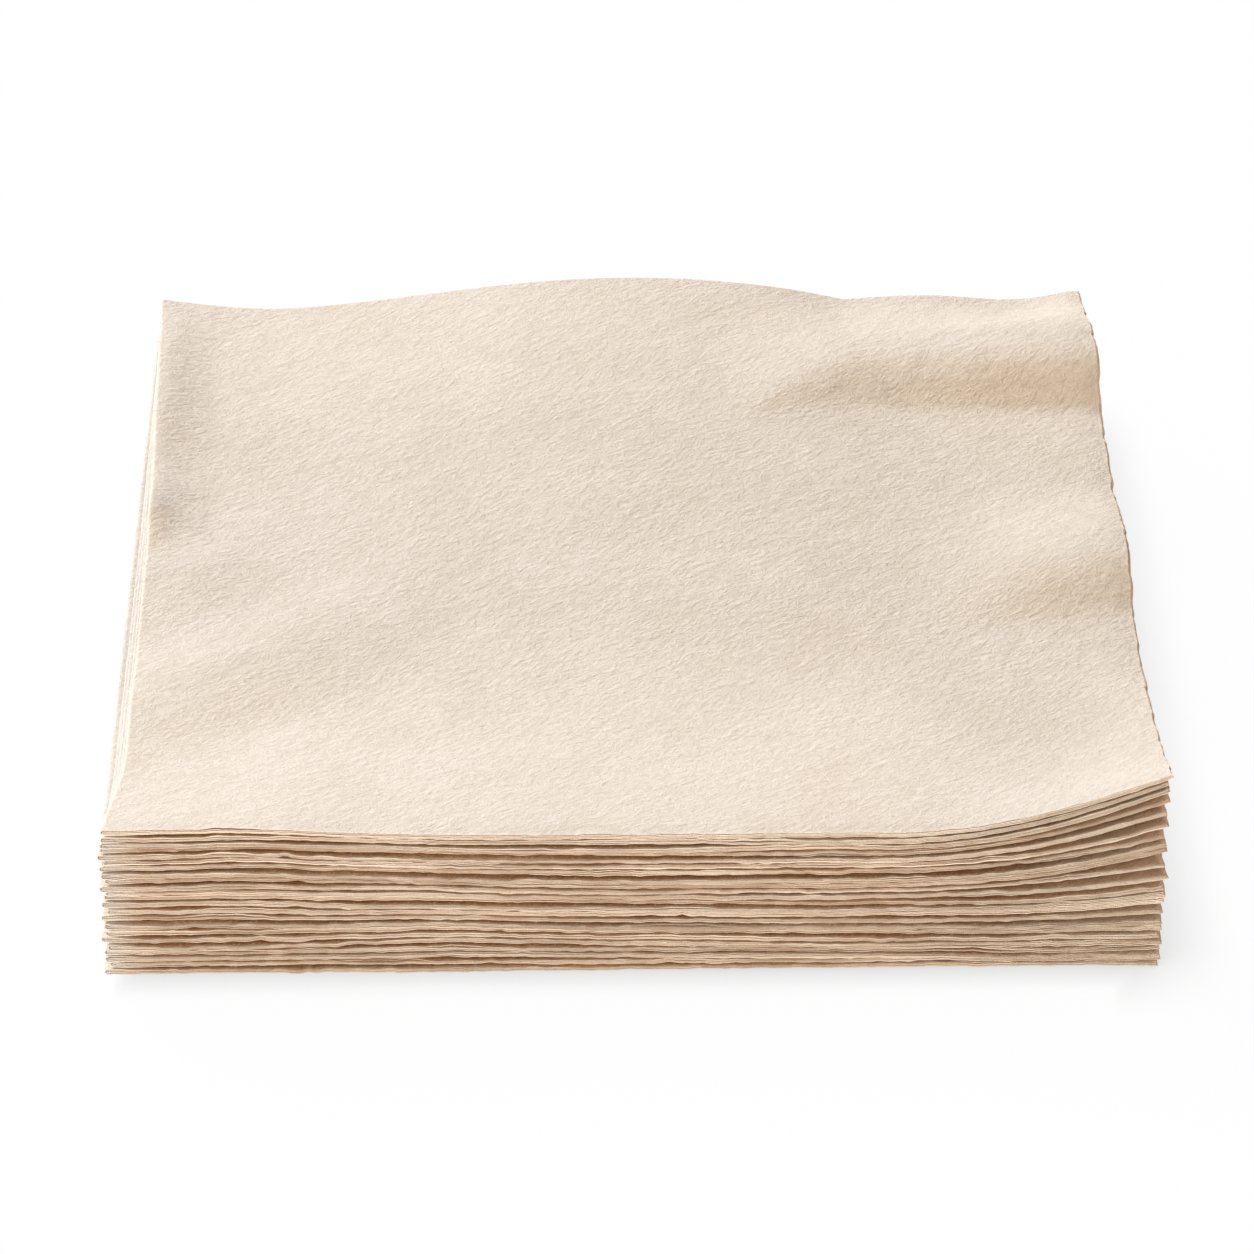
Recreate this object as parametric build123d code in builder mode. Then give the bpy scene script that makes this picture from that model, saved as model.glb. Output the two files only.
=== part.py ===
"""A stack of square paper napkins, each one sheet folded twice, with one corner fanned up."""

from build123d import *
import math
import os

os.makedirs("parts", exist_ok=True)

# Driving dimensions, in millimetres and degrees

napkin_count = 23
folded_width = 127.0  # from the last fold, on the left, to the cut edges on the right
folded_depth = 127.0  # from the cut edges at the front to the first fold, at the back
leaf_thickness = 0.15  # one ply of embossed tissue
leaf_gap = 0.065  # air between two leaves of the same napkin
napkin_gap = 0.05  # air between two napkins
stray = 0.8  # how far a napkin lies off the middle of the stack
stray_bearing = 20.0  # the way the top napkin lies off the middle, from the right towards the back
skew = 0.25  # largest turn of a napkin about the upright axis
flat_napkins = 7  # napkins at the bottom whose corner lies flat
corner_lift = 7.3  # rise of the top napkin's front right corner
curl_along_front = 36.0  # the curl starts this far from that corner, along the front
curl_along_side = 50.0  # and this far from it along the right side
arched_napkins = 5  # napkins at the top that bulge at the back
arch_rise = 4.6  # height of the top napkin's bulge, at the first fold
arch_width = 96.0  # width of the bulge at the first fold
arch_tip = 34.0  # the bulge runs out this far behind the front edge
arch_tip_width = 48.0  # width of the bulge where it runs out
arch_facets = 12  # flats across the bulge
roll_rise = 3.5  # height of the roll across the top napkin's back right corner
roll_crest = 17.0  # from the first fold to the crest of the roll
roll_foot = 29.0  # from the first fold to the front of the roll
roll_length = 30.0  # from the right side to the end of the crest
roll_tip = 19.0  # from the middle to the point where the roll meets the bulge
roll_corner = 1.9  # height that is left at the back right corner
trim_allowance = 2.0  # paper past the cut edges, taken off by the last cut

# Sizes that follow

pair_thickness = 2 * leaf_thickness + leaf_gap
napkin_thickness = 2 * pair_thickness + leaf_gap
napkin_pitch = napkin_thickness + napkin_gap
half_width = folded_width / 2
half_depth = folded_depth / 2
fold_centre = -half_width + napkin_thickness / 2
rough_right = half_width + trim_allowance
rough_front = half_depth + trim_allowance
leaf_back = half_depth - leaf_thickness
arch_side = -(half_width + arch_width / 2) / 2  # left of this no leaf bulges
leaf_heights = [leaf * (leaf_thickness + leaf_gap) for leaf in range(4)]
golden_angle = math.pi * (3 - math.sqrt(5))

# The curl line runs across the front right corner and is the same for every napkin
curl_length = math.hypot(curl_along_front, curl_along_side)
curl_outward = Vector(curl_along_side / curl_length, -curl_along_front / curl_length, 0)
curl_reach = curl_along_front * curl_along_side / curl_length
curl_start = Vector(half_width - curl_along_front, -half_depth, 0)


def cross_plane(base, depth):
    """Upright plane across the napkin, at a depth measured towards the back."""
    return Plane(
        origin=base.origin + base.y_dir * depth, x_dir=base.x_dir, z_dir=-base.y_dir
    )


def leg(height, line):
    """One surface of a leaf seen from the front, from the last fold along a line to its end."""
    Polyline((fold_centre, height), *[(across, height + rise) for across, rise in line])


def bend(radius):
    """The turn at the last fold: round on the napkin's skin, creased further in."""
    centre = napkin_thickness / 2
    if radius == centre:
        start = (fold_centre, centre + radius)
        end = (fold_centre, centre - radius)
        ThreePointArc(start, (fold_centre - radius, centre), end)
        return
    steps = 4 if radius > leaf_gap else 1
    turns = [math.pi * (0.5 + step / steps) for step in range(steps + 1)]
    corners = [
        (fold_centre + radius * math.cos(turn), centre + radius * math.sin(turn)) for turn in turns
    ]
    Polyline(*corners)


def folded_strip(plane, inset, thickness, line):
    """Section of a strip bent back on itself at the last fold, inset from the napkin's skin."""
    low = inset
    high = napkin_thickness - inset
    outer_radius = napkin_thickness / 2 - inset
    end, rise = line[-1]
    with BuildLine(plane) as outline:
        leg(high, line)
        bend(outer_radius)
        leg(low, line)
        Line((end, low + rise), (end, low + rise + thickness))
        leg(low + thickness, line)
        bend(outer_radius - thickness)
        leg(high - thickness, line)
        Line((end, high + rise - thickness), (end, high + rise))
    return Face(outline.wire())


def bulge_height(across, rise):
    """Height of a bulge at the first fold, at a distance from its middle."""
    reach = min(2 * abs(across) / arch_width, 1)
    return rise * (1 + math.cos(math.pi * reach)) / 2


def fan(point, rim):
    """Flat triangles from one point to each stretch of a rim."""
    return [[point, first, second] for first, second in zip(rim, rim[1:])]


def swell(rise, middle, tip, rolled):
    """Flats of a leaf behind the tip of its bulge, and its rims at the back and on the right."""
    bulge = []
    for step in range(arch_facets + 1):
        across = arch_width * (step / arch_facets - 0.5)
        bulge.append((middle + across, leaf_back, bulge_height(across, rise)))
    crest = arch_facets // 2
    left_tip = (middle - arch_tip_width / 2, tip, 0)
    right_tip = (middle + arch_tip_width / 2, tip, 0)
    right_front = (rough_right, tip, 0)
    flats = [[(arch_side, leaf_back, 0), bulge[0], left_tip, (arch_side, tip, 0)]]
    flats += fan(left_tip, bulge[: crest + 1])
    flats.append([left_tip, bulge[crest], right_tip])
    if not rolled:
        right_back = (rough_right, leaf_back, 0)
        flats += fan(right_tip, bulge[crest:])
        flats.append([right_tip, bulge[-1], right_back, right_front])
        return flats, bulge + [right_back], [right_back, right_front]

    # The roll rises from the bulge's right flank, which carries its tip and its inner foot
    share = (leaf_back - roll_foot - tip) / (leaf_back - tip)
    flank = []
    for across in (roll_tip, half_width - roll_length):
        at_back = right_tip[0] - middle + (across - right_tip[0]) / share
        flank.append((across, leaf_back - roll_foot, share * bulge_height(at_back, rise)))
    inner_crest = (half_width - roll_length, leaf_back - roll_crest, roll_rise)
    outer_foot = (rough_right, leaf_back - roll_foot, 0)
    outer_crest = (rough_right, leaf_back - roll_crest, roll_rise)
    right_back = (rough_right, leaf_back, roll_corner)
    # The flats to the left of its tip stay with the bulge
    tip_at_back = right_tip[0] + (roll_tip - right_tip[0]) / share
    low = max(step for step in range(crest, arch_facets - 1) if bulge[step][0] <= tip_at_back)
    high_side = bulge[low:-2] + [right_back, outer_crest, outer_foot]
    flats += fan(right_tip, bulge[crest : low + 1] + flank + [outer_foot, right_front])
    flats += fan(inner_crest, flank[::-1] + high_side + flank[1:])
    return flats, bulge[:-2] + [right_back], [right_back, outer_crest, outer_foot, right_front]


def arched_leaf(base, height, flats, back_rim, right_rim):
    """One leaf behind the tip of the bulge, as thick as the paper and closed all round."""
    left_rim = flats[0][-1:] + flats[0][:1]
    front_rim = [right_rim[-1], flats[arch_facets // 2 + 1][-1], flats[0][2], left_rim[0]]

    def raised(points, level):
        return [base.from_local_coords((x, y, level + z)) for x, y, z in points]

    top = height + leaf_thickness
    outlines = [raised(flat, level) for level in (height, top) for flat in flats]
    for rim in (left_rim, left_rim[1:] + back_rim, right_rim, front_rim):
        outlines.append(raised(rim, height) + raised(rim, top)[::-1])
    return Solid(Shell([Face(Wire.make_polygon(outline)) for outline in outlines]))


for index in range(napkin_count):
    name = f"napkin_{index + 1:02d}"
    above_flat = max(0, index + 1 - flat_napkins)
    lift = corner_lift * above_flat / (napkin_count - flat_napkins)
    above_unarched = max(0, index + 1 - (napkin_count - arched_napkins))
    rise = arch_rise * above_unarched / arched_napkins
    below_top = napkin_count - 1 - index
    bearing = math.radians(stray_bearing) + golden_angle * below_top
    shift_right = stray * math.cos(bearing)
    shift_back = stray * math.sin(bearing)
    turn = skew * math.sin(2.4 * bearing)
    seat = index * napkin_pitch
    base = Plane((shift_right, shift_back, seat)).rotated((0, 0, turn))
    tip = arch_tip - half_depth - shift_back
    flats, back_rim, right_rim = swell(rise, -shift_right, tip, below_top == 0)
    back_line = [(across, height) for across, depth, height in back_rim]

    with BuildPart() as napkin:
        # Two leaves, one inside the other, both bent round the last fold
        for inset in (0, leaf_thickness + leaf_gap):
            if rise:
                back_plane = cross_plane(base, leaf_back)
                fold_side = folded_strip(back_plane, inset, leaf_thickness, [(arch_side, 0)])
                extrude(fold_side, amount=leaf_back - tip, dir=-base.y_dir)
            flat_depth = tip if rise else leaf_back
            flat_plane = cross_plane(base, flat_depth)
            flat_part = folded_strip(flat_plane, inset, leaf_thickness, [(rough_right, 0)])
            extrude(flat_part, amount=flat_depth + rough_front, dir=-base.y_dir)
        # Behind the tip of a bulge, each of the four leaves by itself
        if rise:
            for height in leaf_heights:
                add(arched_leaf(base, height, flats, back_rim, right_rim))
        # The first fold, a pressed crease that joins the leaves in pairs at the back
        crease = folded_strip(cross_plane(base, half_depth), 0, pair_thickness, back_line)
        extrude(crease, amount=leaf_thickness, dir=-base.y_dir)
        # The front right corner, bent up about an axis along the curl line
        if lift > 0:
            radius = (curl_reach**2 + lift**2) / (2 * lift)
            reach = curl_reach + 2 * trim_allowance
            angle = math.degrees(math.asin(reach / (radius - napkin_thickness)))
            hinge = curl_start + Vector(0, 0, seat)
            split(bisect_by=Plane(hinge, z_dir=curl_outward), keep=Keep.BOTTOM)
            cut_faces = napkin.faces().group_by(Axis(hinge, curl_outward))[-1]
            revolve(
                cut_faces,
                axis=Axis(hinge + Vector(0, 0, radius), curl_outward.cross(Vector(0, 0, 1))),
                revolution_arc=angle,
            )
        # All the cut edges, at the front and the right, in one straight cut each
        with BuildSketch(base):
            with Locations((-trim_allowance, trim_allowance)):
                Rectangle(folded_width + 2 * trim_allowance, folded_depth + 2 * trim_allowance)
        extrude(amount=napkin_thickness + corner_lift + arch_rise, mode=Mode.INTERSECT)

    napkin.part.label = name
    export_step(napkin.part, f"parts/{name}.step")
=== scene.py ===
"""The stack of napkins as creased tissue sheets, on a pale floor in soft studio light."""

import math

import bpy
import numpy as np
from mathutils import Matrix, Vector
from mathutils.geometry import delaunay_2d_cdt


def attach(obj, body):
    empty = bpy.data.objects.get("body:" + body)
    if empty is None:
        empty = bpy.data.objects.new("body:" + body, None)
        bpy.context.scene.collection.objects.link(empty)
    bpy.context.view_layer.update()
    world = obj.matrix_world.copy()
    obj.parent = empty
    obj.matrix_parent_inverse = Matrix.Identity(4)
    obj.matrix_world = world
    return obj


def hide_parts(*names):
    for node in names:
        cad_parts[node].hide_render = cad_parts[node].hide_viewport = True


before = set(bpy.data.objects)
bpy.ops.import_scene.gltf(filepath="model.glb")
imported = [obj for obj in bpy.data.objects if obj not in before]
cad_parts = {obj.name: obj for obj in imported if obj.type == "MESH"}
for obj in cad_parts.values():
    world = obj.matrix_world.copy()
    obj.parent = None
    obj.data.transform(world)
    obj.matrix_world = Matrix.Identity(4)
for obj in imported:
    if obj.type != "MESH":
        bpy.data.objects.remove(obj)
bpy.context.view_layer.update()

# Sizes of the solids, in millimetres
napkin_count = 23
folded = 127.0
leaf_thickness = 0.15
leaf_gap = 0.065
stray = 0.8
stray_bearing = math.radians(20.0)
skew = math.radians(0.25)
curl_along_front = 36.0
curl_along_side = 50.0
arched_napkins = 5

top_index = napkin_count - 1
first_arched = napkin_count - arched_napkins
half = folded / 2
pair_thickness = 2 * leaf_thickness + leaf_gap
napkin_thickness = 2 * pair_thickness + leaf_gap
golden_angle = math.pi * (3 - math.sqrt(5))
curl_length = math.hypot(curl_along_front, curl_along_side)
curl_reach = curl_along_front * curl_along_side / curl_length
mm = 0.001

# The sheet before folding: p runs across the last fold and q across the first
last_radius = (pair_thickness + leaf_gap) / 2
last_arc = last_radius * math.pi / 2
last_centre = -half + napkin_thickness / 2
first_radius = (leaf_thickness + leaf_gap) / 2
first_arc = first_radius * math.pi / 2
first_centre = half - pair_thickness / 2
p_max = last_arc + half - last_centre
q_max = first_arc + first_centre + half

rng = np.random.default_rng(23)


def ease(value, start, end):
    """Goes smoothly from 0 to 1 as the value goes from start to end."""
    share = np.clip((value - start) / (end - start), 0.0, 1.0)
    return share * share * (3 - 2 * share)


def fade(distance, reach):
    """1 where the distance is 0, dying away on both sides of it."""
    return np.exp(-((distance / reach) ** 2))


def wander(length, span=75.0):
    """A smooth random curve with bends about one length apart, as a function of place."""
    count = int(2 * span / length) + 3
    knots = rng.normal(size=count)

    def at(place):
        step = np.clip((place + span) / length, 0, count - 1.001)
        low = step.astype(int)
        part = ease(step - low, 0, 1)
        return knots[low] * (1 - part) + knots[low + 1] * part

    return at


# The triangles of the flat sheet, small at the cut edges and across the folds

# Distance of each row of points from the cut edge, and the spacing along the front and the side
outer_rows = (
    (0, 0.5, 0.9), (0.25, 0.5, 0.9), (0.5, 0.6, 1.0), (0.8, 0.8, 1.3), (1.3, 1.2, 1.6),
    (2.2, 2.0, 2.4), (4.0, 3.0, 3.4), (7.0, 4.0, 4.0), (11.0, 4.5, 4.5),
)
inner_rows = ((0, 0.5, 0.9), (0.3, 0.55, 1.0), (0.9, 1.0, 1.6), (3.0, 3.0, 3.4), (8.0, 4.5, 4.5))
rows_from_last = 4.6  # the rows along the cut edges start this far from the last fold
rows_from_first = 4.0  # and this far from the first fold
even_from_last = 7.0  # the even points in the middle start this far from the last fold
even_from_first = 6.0  # and this far from the first fold
even_to_edge = 14.0  # and stop this far from the cut edges
fold_step = 3.7  # spacing along the folds
least_area = 1e-7


def both_ways(values):
    """The values and their opposites, in order."""
    return sorted({-v for v in values} | set(values))


def steps(low, high, step):
    """Even places from low to high, about one step apart."""
    return np.linspace(low, high, round((high - low) / step) + 1)


# Lines of points beside each fold, by their distance from its middle
last_lines = both_ways([0, 0.072, 0.145, 0.217, 0.289, 0.361, 0.8, 1.8, 3.4])
first_lines = both_ways([0, 0.06, 0.12, 0.18, 0.5, 1.2, 2.6])


def sheet_triangles(step, alike):
    """Points and triangles of the unfolded sheet, with a spacing away from its edges and folds.

    Where the leaves are alike, all four have the same triangles, so that they bend together.
    """
    points = []
    reach_p = p_max - even_to_edge
    reach_q = q_max - even_to_edge
    uneven = 0.15 * step
    for sign_q, rows in ((-1, outer_rows), (1, outer_rows if alike else inner_rows)):
        for row, front_step, side_step in rows:
            for sign_p in (-1, 1):
                across = steps(rows_from_last, p_max - row, min(front_step, step))
                along = steps(rows_from_first, q_max - row, min(side_step, step))
                points += [(sign_p * p, sign_q * (q_max - row)) for p in across]
                points += [(sign_p * (p_max - row), sign_q * q) for q in along[:-1]]
        along_last = [*steps(rows_from_first, reach_q, fold_step), *(q_max - row[0] for row in rows)]
        points += [(p, sign_q * q) for p in last_lines for q in along_last]
        # In the middle each point lies a little off an even grid
        for sign_p in (-1, 1):
            for p in steps(even_from_last, reach_p, step):
                for q in steps(even_from_first, reach_q, step):
                    aside = uneven * math.sin(1.9 * p + 5.3 * q)
                    ahead = uneven * math.sin(4.7 * p - 2.3 * q)
                    points.append((sign_p * (p + aside), sign_q * (q + ahead)))
    along_first = [*steps(rows_from_last, reach_p, fold_step), *(p_max - row[0] for row in outer_rows)]
    points += [(p, q) for q in first_lines for p in both_ways(along_first)]
    points += [(p, q) for q in first_lines for p in last_lines]
    points = np.unique(np.round(np.array(points), 4), axis=0)
    flat = delaunay_2d_cdt([Vector(point) for point in points], [], [], 0, 1e-5)
    places = np.array([tuple(v) for v in flat[0]])
    triangles = np.array(flat[2])
    a, b, c = (places[triangles[:, i]] for i in range(3))
    area = (b[:, 0] - a[:, 0]) * (c[:, 1] - a[:, 1]) - (b[:, 1] - a[:, 1]) * (c[:, 0] - a[:, 0])
    triangles[area < 0] = triangles[area < 0][:, ::-1]
    return places, triangles[np.abs(area) > least_area]


def rim_edges(triangles):
    """Edges with one triangle, in that triangle's own direction."""
    edges = np.concatenate([triangles[:, [0, 1]], triangles[:, [1, 2]], triangles[:, [2, 0]]])
    keys = np.sort(edges, axis=1)
    _, first, uses = np.unique(keys, axis=0, return_index=True, return_counts=True)
    return edges[first[uses == 1]]


def folded_place(p, q, lift):
    """Where a point of the sheet lies in the folded napkin. lift is its height over the sheet."""
    turn_first = np.clip(q / first_radius, -math.pi / 2, math.pi / 2)
    out = -(first_radius + lift) * np.sin(turn_first)
    y = first_centre + (first_radius + lift) * np.cos(turn_first)
    y -= np.maximum(np.abs(q) - first_arc, 0)
    turn_last = np.clip(p / last_radius, -math.pi / 2, math.pi / 2)
    x = last_centre - (last_radius + out) * np.cos(turn_last)
    x += np.maximum(np.abs(p) - last_arc, 0)
    z = -(last_radius + out) * np.sin(turn_last)
    return x, y, z


# How the stack lies: the room that each napkin takes up, over the whole of the stack

line = np.linspace(-70, 70, 561)
pitch_front = 0.82
pitch_back = 0.845
least_room = 0.3
front_total = 19.0 + 0.95 * ease(line, -4, -50) + 0.4 * fade(line + 49, 11)
side_total = 18.7 + 0 * line

# Waves in the room along the front and the right side: amount and length of each
front_waves = ((0.2, 60), (0.14, 26), (0.035, 7), (0.012, 2.2))
side_waves = ((0.2, 60), (0.17, 22), (0.06, 7), (0.015, 2.5))


def edge_room(total, waves):
    """Room for each napkin along one side, which wanders but always adds up to the total."""
    room = np.zeros((napkin_count, len(line)))
    for index in range(napkin_count):
        for amount, length in waves:
            room[index] += amount * wander(length)(line)
    room = np.exp(room)
    return room * total / room[:-1].sum(axis=0)


front_room = edge_room(front_total, front_waves)
side_room = edge_room(side_total, side_waves)

# How much further apart each pair of neighbours stands at the fanned corner
corner_room = [0.05] * 7 + [0.65, 0.65, 0.2, 0.1, 0.45, 0.65, 1.3, 0.2, 0.05]
corner_room += [0.85, 1.0, 0.75, 0.6, 0.05, 0.15]

# Shares of the rolls' height that open above the third napkin from the top and above the second
ridge_shares = {top_index - 2: 0.1, top_index - 1: 0.9}


def foot(t):
    """Rises from a soft crease at 0 to a rounded crest at 1."""
    rise = (t + np.sqrt(t * t + 0.012)) / 2
    return 1 - (1 - np.clip(rise, 0, 1)) ** 1.55


def bulge(x, y):
    """The rise at the back, which dies away towards the front."""
    rise = 4.6
    left_reach = 49
    right_reach = 46 - 15.5 * ease(y, 10, 60)
    along = np.clip((y + 30) / 93.5, 0, 1.05) ** 1.15
    left = ((1 + np.cos(math.pi * np.clip(x / left_reach, -1, 0))) / 2) ** 0.85
    right = 1 - np.clip(x / right_reach, 0, 1) ** 2.4
    return rise * along * np.where(x < 0, left, right)


def back_right_roll(x, y):
    """The roll across the back right corner, with a crease at the foot of its front slope."""
    slope = 3.5 + 5.6 * ease(x, 13, 35) - 2.0 * ease(x, 40, 62)
    crease = 29.5 + 5.7 * ease(x, 13, 33)
    rise = 4.2 * ease(x, 12, 38) + 1.2 * ease(x, 36, 62)
    back_drop = 1 - 0.74 * ease(y, 47, 63)
    corner = 0.75 * ease(x, 57, 64) - 0.65 * fade(x - 54, 6) + 0.4 * fade(x - 41, 7)
    return rise * foot((y - crease) / slope) * back_drop + corner * ease(y, 50, 60)


def middle_right_roll(x, y):
    """A shorter roll at the middle of the right side, a little askew."""
    rise = 3.6 * ease(x, 36, 62)
    behind = 0.985 * (y + 13.5) - 0.171 * (x - 63.8)
    return rise * foot(behind / 8.5) * ease(behind, 31, 11)


def left_lift(x, y):
    """The left fold, lifted behind the middle, with a dip and a hump along it."""
    at_back = ease(y, 50, 63)
    lifted = 2.3 * ease(x, -56, -62) * (1 - at_back)
    lifted = lifted + 1.65 * np.clip((-47 - x) / 16.5, 0, 1.05) ** 1.8 * at_back
    humps = 1 - 0.45 * fade(y - 24, 7) + 0.25 * fade(y - 9, 5)
    return lifted * humps * foot((y - 2.5) / 6)


def left_rolls(x, y):
    """Two low rolls on the left, one at the middle and one slanting in from the front corner."""
    middle = 1.1 * ease(x, -45, -58) * foot((y + 19) / 14) * ease(y, 5, -3)
    behind = 0.825 * (y + 50.5) - 0.565 * (x + 62)
    slanting = 1.4 * ease(x, -20, -48) * foot(behind / 14) * ease(behind, 27, 14)
    return middle + slanting


def ridge(x, y):
    """All the rolls and mounds of the top napkin."""
    mounds = 0.4 * fade(x, 22) * fade(y - 15, 9) + 0.5 * fade(x - 12, 18) * fade(y + 11, 9)
    rolls = back_right_roll(x, y) + middle_right_roll(x, y)
    return rolls + left_lift(x, y) + left_rolls(x, y) + mounds


def room_above(index, x, y):
    """Height from the underside of one napkin to the underside of the next."""
    front_depth = 20 + 12 * fade(x + 31, 18)
    front = np.clip(1 - (y + half) / front_depth, 0, 1.05) ** 1.4
    side = ease(half - x, 13, 0)
    room = pitch_front + (pitch_back - pitch_front) * ease(y, -44, 56)
    room = room + front * (np.interp(x, line, front_room[index]) - pitch_front)
    loose = np.interp(y, line, side_room[index]) - pitch_back
    room = room + side * np.maximum(1 - front, 0) * loose
    # The fan starts nearer the corner the lower the napkin lies
    beyond = (x - half + curl_along_front) * curl_along_side - (y + half) * curl_along_front
    beyond = beyond / curl_length / curl_reach
    start = 0.42 * (1 - index / (top_index - 1))
    room = room + corner_room[index] * np.clip((beyond - start) / (1 - start), 0, 1.1) ** 1.7
    if index >= first_arched - 1:
        room = room + bulge(x, y) / arched_napkins
    if index in ridge_shares:
        room = room + ridge_shares[index] * ridge(x, y)
    return np.maximum(room, least_room)


# The last fold of the top four napkins is drawn in from the rest, least at the two corners
fold_line = -64.2
drawn_in = {top_index: 1.0, top_index - 1: 0.74, top_index - 2: 0.48, top_index - 3: 0.24}
drawn_places = (-63.5, -58, -53, -48, 12, 36, 56, 63.5)
drawn_depths = (0, 0.5, 1.2, 1.9, 1.9, 1.25, 0.8, 0.5)


def fold_edge(index, y, shift):
    """Where the last fold of a napkin lies, along its length."""
    if index not in drawn_in:
        return fold_line + 0.5 * shift
    return fold_line + drawn_in[index] * np.interp(y, drawn_places, drawn_depths)


# The cut edges: amount and length of their waves, and the range of each nick's width and depth
cut_waves = ((0.1, 24), (0.05, 3.2), (0.06, 1.0))
nick_limit = 5
nick_width = (0.4, 1.5)
nick_depth = (0.1, 0.4)
leaf_stray = 0.03
leaf_step = 0.08  # each leaf is cut this much longer than the one above it
cut_depth = 1.6


def uneven_cuts(p, q, along, to_cut):
    """Points of the sheet with its cut edges uneven and nicked, each leaf a little differently."""
    shared = {}
    for side in ("front", "right"):
        shared[side] = sum(amount * wander(length)(along[side]) for amount, length in cut_waves)
        for _ in range(rng.integers(0, nick_limit)):
            middle = rng.uniform(-60, 60)
            width = rng.uniform(*nick_width)
            shared[side] -= rng.uniform(*nick_depth) * fade(along[side] - middle, width)
    p_cut = p.copy()
    q_cut = q.copy()
    for sign_p in (-1, 1):
        for sign_q in (-1, 1):
            mine = (np.sign(p) == sign_p) & (np.sign(q) == sign_q)
            # 0 for the top leaf to 3 for the bottom one
            order = (5 - sign_q) / 2 if sign_p > 0 else (1 + sign_q) / 2
            for cut, side, sign in ((q_cut, "front", sign_q), (p_cut, "right", sign_p)):
                uneven = shared[side] + leaf_stray * rng.normal() + leaf_stray * wander(14)(along[side])
                uneven = uneven + leaf_step * (order - 1.5)
                cut[mine] += (sign * uneven * fade(to_cut[side], cut_depth))[mine]
    return p_cut, q_cut


def paint(on_top, p, q, edge, along_front, x, y):
    """How the paper changes from place to place, painted shade and highlights too, on the sheet's outer
    side and then its inner.
    """
    from_folds = ease(np.abs(p), 0.5, 5.5) * ease(np.abs(q), 0.5, 3.5)
    near_rim = 1 - ease(edge, 2.5, 6.5)
    bottom_leaf = (p > 0) & (q < 0)
    bare = on_top & (p < 0) & (q < 0)
    # Pale fluff and a painted highlight on the cut edges, stronger on some leaves than on others
    leaf_highlight_share = np.where(p < 0, np.where(q < 0, 0.8, 0.7), np.where(q > 0, 0.8, 1.0))
    lip_fluff_and_highlight = fade(edge, 0.28) * (0.3 + 0.7 * from_folds) * leaf_highlight_share
    outer_lip_fluff_and_highlight = np.where(bottom_leaf, 0.2, np.where(bare, 0.0, 1.0)) * lip_fluff_and_highlight
    # Painted shade: browner paper behind them, in the gaps between the leaves and the napkins, less so
    # where the corner fans open
    fanned = 1 - 0.4 * ease(along_front, 38, 60)
    painted_gap_shade = ease(edge, -0.1, 0.52) * near_rim * from_folds
    outer_painted_gap_shade = np.where(bottom_leaf, from_folds * near_rim, np.where(bare, 0.0, painted_gap_shade))
    # The felt is pressed flatter along the front and a little along the back
    flatter = ease(np.abs(q), 70, 116) * (1 - ease(np.abs(p), 88, 112))
    felt = 1 - 0.4 * flatter - 0.18 * (1 - ease(np.abs(q), 8, 40))
    # Painted shade: the steep front slopes of the rolls, turned away from the light, are painted
    # browner
    painted_slope_shade = np.clip(0.9 * (ridge(x, y + 0.5) - ridge(x, y - 0.5)), 0, 0.6)
    # Painted shade: greyer paper at the last fold, but not on the top napkin
    fold = (1 - ease(np.abs(p), 0, 5)) * (not on_top)
    return {
        "lip_fluff_and_highlight": np.concatenate([outer_lip_fluff_and_highlight, lip_fluff_and_highlight]),
        "painted_gap_shade": np.concatenate([outer_painted_gap_shade * fanned, painted_gap_shade * fanned]),
        "felt": np.concatenate([felt, felt]),
        "painted_slope_shade": np.concatenate([np.where(bare, painted_slope_shade, 0), np.zeros_like(painted_slope_shade)]),
        "fold": np.concatenate([fold, fold]),
    }


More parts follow.
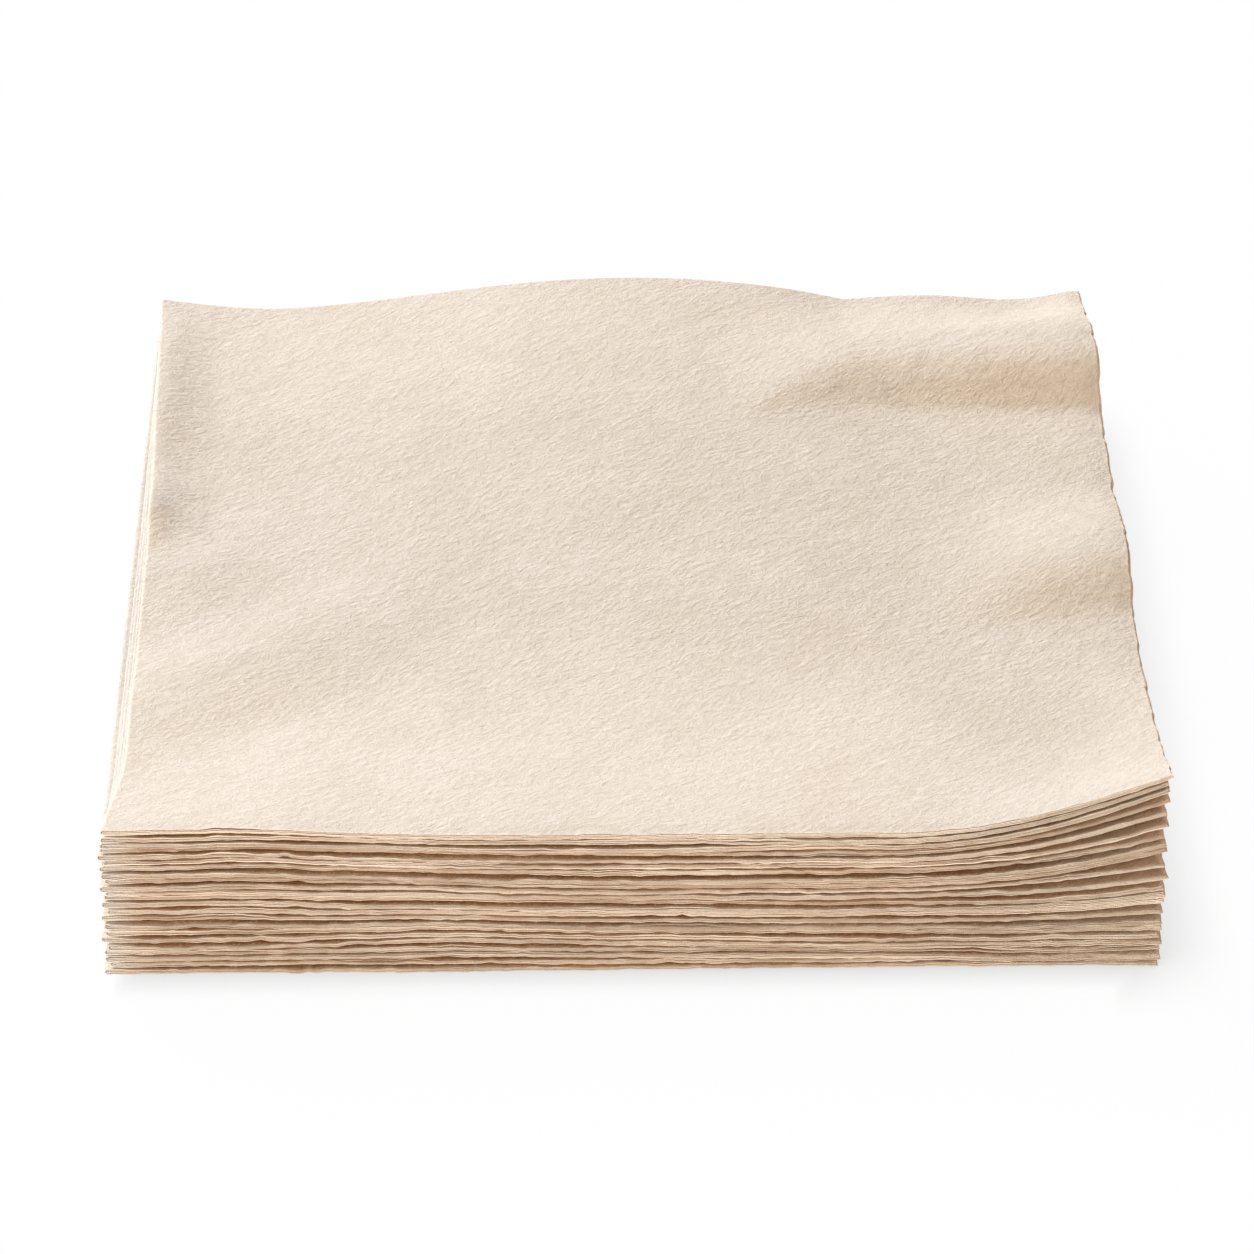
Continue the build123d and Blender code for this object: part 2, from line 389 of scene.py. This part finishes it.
def napkin_mesh(index, places, triangles):
    """One folded napkin, lying in the stack: its points, its faces and how its paper changes, painted
    shade and highlights too.
    """
    p, q = places[:, 0], places[:, 1]
    along_front = last_centre + np.abs(p) - last_arc
    along_right = first_centre - np.abs(q) + first_arc
    to_front = q_max - np.abs(q)
    to_right = p_max - np.abs(p)
    edge = np.minimum(to_front, to_right)
    on_top = index == top_index
    along = {"front": along_front, "right": along_right}
    p_cut, q_cut = uneven_cuts(p, q, along, {"front": to_front, "right": to_right})

    def by_edge(length):
        """A random curve along the nearest cut edge."""
        return np.where(to_front < to_right, wander(length)(along_front), wander(length)(along_right))

    # Loose gaps between the leaves at the cut edges
    gaps = [np.clip(0.16 * by_edge(9) - 0.16, 0, 0.3) * fade(edge, 1.4) for _ in range(3)]
    # Its height over the middle, and where it is pressed together at the cut edges
    full = 0.8 if on_top else 0.76
    pressed = rng.uniform(0.22, 0.4) + 0.08 * by_edge(16) + 0.03 * by_edge(3)
    pressed = np.clip(pressed + (0.05 if index < 9 else 0.0), 0.18, 0.6)
    if on_top:
        pressed = np.maximum(pressed, 0.55)
    squeeze = fade(edge, 1.2 + 0.2 * by_edge(20))
    squeeze = squeeze * (0.35 + 0.65 * ease(along_front, -half, 6 - half))
    # Ragged rims that stand up a little or hang down
    ragged = fade(edge, 0.6)
    burr = 0.09 * np.clip(by_edge(1.4), 0, 1.2) * ragged
    droop = np.clip(0.05 * by_edge(1.2) + 0.05 * by_edge(6), 0, 0.12) * ragged if index else 0.0
    # Its own place in the stack
    bearing = stray_bearing + golden_angle * (top_index - index)
    shift_x = stray * math.cos(bearing)
    shift_y = stray * math.sin(bearing)
    turn = 0.4 * skew * math.sin(2.4 * bearing)
    forward = 0.6 * (1 - index / top_index)
    sides = []
    for lift in (leaf_thickness / 2, -leaf_thickness / 2):
        x, y, z = folded_place(p_cut, q_cut, lift)
        share = (z + napkin_thickness / 2) / napkin_thickness
        inward = fold_edge(index, y, shift_x) + half - shift_x
        outward = 0.7 - 0.6 * ease(y, 36, 58) - 0.8 * shift_x
        x = x + outward * (x + half) / folded + inward * (half - x) / folded
        y = y - (forward + 0.7 * shift_y) * (half - y) / folded
        x, y = (
            x * math.cos(turn) - y * math.sin(turn) + shift_x,
            x * math.sin(turn) + y * math.cos(turn) + shift_y,
        )
        underside = np.zeros_like(x)
        for lower in range(index):
            underside = underside + room_above(lower, x, y)
        room = 2.0 if on_top else room_above(index, x, y) - 0.03
        height = np.minimum(full + squeeze * (pressed - full), room)
        spare = np.clip((room - height) / (gaps[0] + gaps[1] + gaps[2] + 1e-6), 0, 1)
        up = share * height
        for gap, level in zip(gaps, (0.225, 0.5, 0.775)):
            up = up + spare * gap * (share > level)
        up = up + burr * share * np.clip((room - height) / 0.4, 0, 1) - droop * (1 - share)
        sides.append(np.stack([x, y, underside + up], axis=1))
    count = len(places)
    rim = rim_edges(triangles)
    walls = np.stack([rim[:, 1], rim[:, 0], rim[:, 0] + count, rim[:, 1] + count], axis=1)
    faces = [*triangles.tolist(), *(triangles[:, ::-1] + count).tolist(), *walls.tolist()]
    marks = paint(on_top, p, q, edge, along_front, sides[0][:, 0], sides[0][:, 1])
    return np.concatenate(sides) * mm, faces, marks


def signed_volume(vertices, faces):
    """Volume inside the faces, below 0 where they face inwards."""
    total = 0.0
    for size in (3, 4):
        group = np.array([face for face in faces if len(face) == size])
        for corner in range(1, size - 1):
            a, b, c = (vertices[group[:, i]] for i in (0, corner, corner + 1))
            total += float((a * np.cross(b, c)).sum() / 6)
    return total


# Unbleached tissue: creping, loose fibres and a few darker flecks, with painted shade at the cut edges,
# on the rolls' front slopes and at the folds, and painted highlights on the cut edges

# Each colour of the paper, and of its painted shade and highlights, where it is darkest and where it is
# palest
cream = ((0.76, 0.65, 0.54), (0.865, 0.765, 0.66))
# Painted shade in the gaps between the leaves and the napkins
gap_shade_brown = ((0.37, 0.205, 0.095), (0.52, 0.31, 0.16))
# Pale fluff with a painted highlight, on the cut edges
fluff_and_highlight = ((0.88, 0.715, 0.555), (0.95, 0.81, 0.66))
# Painted shade on the rolls' front slopes
slope_shade_brown = ((0.755, 0.585, 0.405), (0.86, 0.685, 0.49))
# Painted shade at the folds of the lower napkins
fold_shade_grey = ((0.67, 0.595, 0.515), (0.76, 0.69, 0.61))
fleck_brown = (0.5, 0.38, 0.27)
felt_height = 0.00043


def add_node(tree, kind, inputs, **settings):
    """A new node with its settings, each input either set to a value or linked to an output."""
    node = tree.nodes.new(kind)
    for name, value in settings.items():
        setattr(node, name, value)
    for key, value in inputs.items():
        if isinstance(value, bpy.types.NodeSocket):
            tree.links.new(value, node.inputs[key])
        else:
            node.inputs[key].default_value = value
    return node


def calculated(tree, operation, a, b):
    """One step of arithmetic on two outputs or numbers."""
    return add_node(tree, "ShaderNodeMath", {0: a, 1: b}, operation=operation).outputs[0]


def tissue():
    """The material of every napkin."""
    material = bpy.data.materials.new("kraft_tissue")
    material.use_nodes = True
    tree = material.node_tree
    shader = tree.nodes["Principled BSDF"]
    shader.inputs["Roughness"].default_value = 0.95
    shader.inputs["Specular IOR Level"].default_value = 0.12
    on_sheet = add_node(tree, "ShaderNodeUVMap", {}, uv_map="sheet").outputs["UV"]

    def stretched(angle, length):
        inputs = {
            "Vector": on_sheet,
            "Rotation": (0, 0, math.radians(angle)),
            "Scale": (length, 1.0, 1.0),
        }
        return add_node(tree, "ShaderNodeMapping", inputs, vector_type="TEXTURE").outputs["Vector"]

    def noise(vector, scale, detail, rough=0.55, twist=0.0):
        inputs = {"Vector": vector, "Scale": scale, "Detail": detail}
        inputs |= {"Roughness": rough, "Distortion": twist}
        return add_node(tree, "ShaderNodeTexNoise", inputs).outputs["Fac"]

    def plus(total, value, weight, middle=0.0):
        """A total with a weighted value added, which leaves it as it is at the value's middle."""
        if middle:
            value = calculated(tree, "SUBTRACT", value, middle)
        return calculated(tree, "ADD", total, calculated(tree, "MULTIPLY", value, weight))

    def ramp(value, low, high):
        inputs = {"Value": value, "From Min": low, "From Max": high}
        node = add_node(tree, "ShaderNodeMapRange", inputs, interpolation_type="SMOOTHSTEP")
        return node.outputs["Result"]

    def mixed(share, a, b):
        a, b = ((*colour, 1) if isinstance(colour, tuple) else colour for colour in (a, b))
        return add_node(tree, "ShaderNodeMix", {0: share, 6: a, 7: b}, data_type="RGBA").outputs[2]

    def painted(name):
        return add_node(tree, "ShaderNodeAttribute", {}, attribute_name=name).outputs["Fac"]

    slanted = stretched(-34, 1.7)
    creping = noise(slanted, 1.45, 4.0, 0.7, 0.25)
    fibres = noise(stretched(-20, 3.2), 2.6, 2.0)
    for angle in (-40, 55):
        fibres = calculated(tree, "ADD", fibres, noise(stretched(angle, 3.2), 2.6, 2.0))
    grain = noise(on_sheet, 4.2, 3.0, 0.7)
    mottle = noise(slanted, 0.42, 2.0, 0.7)
    cloud = noise(on_sheet, 0.06, 3.0)

    relief = plus(creping, fibres, 0.16)
    relief = plus(relief, mottle, 0.9)
    relief = plus(relief, grain, 0.5)
    relief = calculated(tree, "MULTIPLY", relief, painted("felt"))
    inputs = {"Strength": 1.0, "Distance": felt_height, "Height": relief}
    bump = add_node(tree, "ShaderNodeBump", inputs)
    tree.links.new(bump.outputs["Normal"], shader.inputs["Normal"])

    tone = plus(calculated(tree, "MULTIPLY", cloud, 0.4), creping, 0.6)
    tone = plus(tone, mottle, 0.35, 0.5)
    tone = plus(tone, fibres, 0.25, 1.5)
    tone = plus(tone, grain, 1.2, 0.5)
    tone = ramp(tone, 0.32, 0.68)
    # Painted shade at the folds of the lower napkins
    colour = mixed(painted("fold"), mixed(tone, *cream), mixed(tone, *fold_shade_grey))
    # Painted shade on the rolls' front slopes
    colour = mixed(painted("painted_slope_shade"), colour, mixed(tone, *slope_shade_brown))
    # Painted shade in the gaps at the cut edges
    colour = mixed(painted("painted_gap_shade"), colour, mixed(tone, *gap_shade_brown))
    # Pale fluff and a painted highlight on the cut edges
    colour = mixed(painted("lip_fluff_and_highlight"), colour, mixed(tone, *fluff_and_highlight))
    cells = add_node(tree, "ShaderNodeTexVoronoi", {"Vector": slanted, "Scale": 0.6})
    fleck = calculated(tree, "MULTIPLY", ramp(cells.outputs["Distance"], 0.09, 0.03), 0.35)
    tree.links.new(mixed(fleck, colour, fleck_brown), shader.inputs["Base Color"])
    return material


# The napkins, from the lowest up

crease_angle = math.radians(48)
paper_step = np.array([31.7, 17.3])  # from one napkin's piece of paper to the next

paper = tissue()
plain_sheet = sheet_triangles(8.0, False)
wavy_sheet = sheet_triangles(4.0, False)
top_sheet = sheet_triangles(2.2, True)
for index in range(napkin_count):
    node = f"napkin_{index + 1:02d}"
    places, triangles = plain_sheet if index < first_arched else wavy_sheet
    if index == top_index:
        places, triangles = top_sheet
    vertices, faces, marks = napkin_mesh(index, places, triangles)
    if signed_volume(vertices, faces) < 0:
        faces = [face[::-1] for face in faces]
    mesh = bpy.data.meshes.new(f"{node}_sheet")
    mesh.from_pydata(vertices.tolist(), [], faces)
    corners = np.empty(len(mesh.loops), dtype=np.int32)
    mesh.loops.foreach_get("vertex_index", corners)
    uv = np.concatenate([places, places]) + index * paper_step
    mesh.uv_layers.new(name="sheet").data.foreach_set("uv", uv[corners].astype(np.float32).ravel())
    for name, values in marks.items():
        mark = mesh.attributes.new(name, "FLOAT", "POINT")
        mark.data.foreach_set("value", values.astype(np.float32))
    mesh.shade_smooth()
    mesh.set_sharp_from_angle(angle=crease_angle)
    mesh.materials.append(paper)
    napkin = bpy.data.objects.new(f"{node}_sheet", mesh)
    bpy.context.scene.collection.objects.link(napkin)
    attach(napkin, "root")
    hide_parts(node)

# Floor and background

white = (1, 1, 1, 1)
floor_half = 4
floor_drop = 0.0001
floor_light = 0.975  # brightness of the open floor
floor_dark = 0.54  # and where the stack touches it

# Reach of each soft shadow at the stack's foot, and the x where it is full and where it is gone
contact_shadows = ((0.006, -0.057, -0.0635), (0.0105, 0.066, 0.058))


def seen_directly(tree):
    """1 for what the camera sees, also in a gloss or through glass, and 0 for light on the object."""
    ray = add_node(tree, "ShaderNodeLightPath", {})
    share = ray.outputs["Is Camera Ray"]
    for name in ("Is Glossy Ray", "Is Transmission Ray"):
        share = calculated(tree, "MAXIMUM", share, ray.outputs[name])
    return share


floor_mesh = bpy.data.meshes.new("floor")
floor_corners = [(-1, -1), (1, -1), (1, 1), (-1, 1)]
floor_places = [(x * floor_half, y * floor_half, 0) for x, y in floor_corners]
floor_mesh.from_pydata(floor_places, [], [(0, 1, 2, 3)])
floor = bpy.data.objects.new("floor", floor_mesh)
bpy.context.scene.collection.objects.link(floor)
floor.location.z = -floor_drop
floor_paint = bpy.data.materials.new("floor_white")
floor_paint.use_nodes = True
floor_tree = floor_paint.node_tree
floor_bounce_and_glow = floor_tree.nodes["Principled BSDF"]
floor_bounce_and_glow.inputs["Base Color"].default_value = (0.9, 0.9, 0.9, 1)
floor_bounce_and_glow.inputs["Roughness"].default_value = 1.0
floor_bounce_and_glow.inputs["Specular IOR Level"].default_value = 0.0
# For light on the stack the floor also glows, lighting it from below though it is no lamp, besides
# bouncing the lamps' light
floor_bounce_and_glow.inputs["Emission Color"].default_value = white
floor_bounce_and_glow.inputs["Emission Strength"].default_value = 1.2
floor_mesh.materials.append(floor_paint)

floor_place = add_node(floor_tree, "ShaderNodeTexCoord", {}).outputs["Object"]
floor_across = add_node(floor_tree, "ShaderNodeSeparateXYZ", {"Vector": floor_place}).outputs["X"]
open_shares = []
for reach, dark_at, lit_at in contact_shadows:
    contact = add_node(floor_tree, "ShaderNodeAmbientOcclusion", {"Distance": reach}, samples=8)
    inputs = {"Value": floor_across, "From Min": dark_at, "From Max": lit_at}
    lit = add_node(floor_tree, "ShaderNodeMapRange", inputs).outputs["Result"]
    open_shares.append(calculated(floor_tree, "MAXIMUM", contact.outputs["AO"], lit))
floor_open = calculated(floor_tree, "MINIMUM", *open_shares)
inputs = {"Value": floor_open, "To Min": floor_dark, "To Max": floor_light}
floor_level = add_node(floor_tree, "ShaderNodeMapRange", inputs).outputs["Result"]
inputs = {"Color": white, "Strength": floor_level}
floor_glow = add_node(floor_tree, "ShaderNodeEmission", inputs).outputs[0]
floor_shade = add_node(floor_tree, "ShaderNodeBsdfDiffuse", {"Color": (0.02, 0.02, 0.02, 1)}).outputs[0]
floor_seen = add_node(floor_tree, "ShaderNodeAddShader", {0: floor_shade, 1: floor_glow}).outputs[0]
inputs = {0: seen_directly(floor_tree), 1: floor_bounce_and_glow.outputs[0], 2: floor_seen}
floor_choice = add_node(floor_tree, "ShaderNodeMixShader", inputs).outputs[0]
floor_tree.links.new(floor_choice, floor_tree.nodes["Material Output"].inputs["Surface"])

world = bpy.data.worlds.new("studio")
bpy.context.scene.world = world
world.use_nodes = True
sky_tree = world.node_tree
sky = sky_tree.nodes["Background"]
sky_seen = seen_directly(sky_tree)
inputs = {0: sky_seen, 6: (1.0, 0.91, 0.81, 1), 7: white}
sky_tint = add_node(sky_tree, "ShaderNodeMix", inputs, data_type="RGBA").outputs[2]
inputs = {"Value": sky_seen, "To Min": 0.365, "To Max": 1.0}
sky_strength = add_node(sky_tree, "ShaderNodeMapRange", inputs).outputs["Result"]
sky_tree.links.new(sky_tint, sky.inputs["Color"])
sky_tree.links.new(sky_strength, sky.inputs["Strength"])

# Lamps


def lamp(name, size, watts, colour, place, aim):
    """A flat lamp, round where its size is one number, shining along aim."""
    data = bpy.data.lights.new(name, "AREA")
    if isinstance(size, tuple):
        data.shape = "RECTANGLE"
        data.size, data.size_y = size
    else:
        data.shape = "DISK"
        data.size = size
    data.energy = watts
    data.color = colour
    lamp_object = bpy.data.objects.new(name, data)
    bpy.context.scene.collection.objects.link(lamp_object)
    lamp_object.location = place
    lamp_object.rotation_mode = "QUATERNION"
    lamp_object.rotation_quaternion = aim.to_track_quat("-Z", "Y")


# Soft key from the back left, and a weak fill from the front
key_place = Vector((-0.92, 1.11, 1.28))
fill_place = Vector((-0.1, -0.6, 0.36))
lamp("key", 1.22, 45.4, (0.9, 0.942, 1.0), key_place, -key_place)
lamp("fill", 0.7, 1.35, (1.0, 0.83, 0.64), fill_place, -fill_place)

# Small cool lamps over the front and the left edge
cool = (0.45, 0.7, 1.0)
lamp("front_strip", (0.18, 0.05), 0.015, cool, (-0.02, -0.11, 0.15), Vector((0.0, 0.05, -0.13)))
lamp("left_strip", (0.05, 0.14), 0.02, cool, (-0.13, -0.02, 0.14), Vector((0.07, 0.0, -0.12)))

# Camera, looking down on the front of the stack

image_width = 1254
focal_pixels = 5735.0
azimuth = math.radians(-0.7)
pitch = math.radians(33.27)
away = 0.6265
camera_height = 0.419

camera_data = bpy.data.cameras.new("camera")
camera_data.sensor_width = 36.0
camera_data.lens = focal_pixels / image_width * camera_data.sensor_width
camera_data.clip_start = 0.05
camera_data.clip_end = 20.0
camera = bpy.data.objects.new("camera", camera_data)
bpy.context.scene.collection.objects.link(camera)
camera.location = (away * math.sin(azimuth), -away * math.cos(azimuth), camera_height)
level_look = math.cos(pitch)
look = Vector((-math.sin(azimuth) * level_look, math.cos(azimuth) * level_look, -math.sin(pitch)))
camera.rotation_mode = "QUATERNION"
camera.rotation_quaternion = look.to_track_quat("-Z", "Y")
bpy.context.scene.camera = camera
bpy.context.scene.view_settings.view_transform = "Standard"
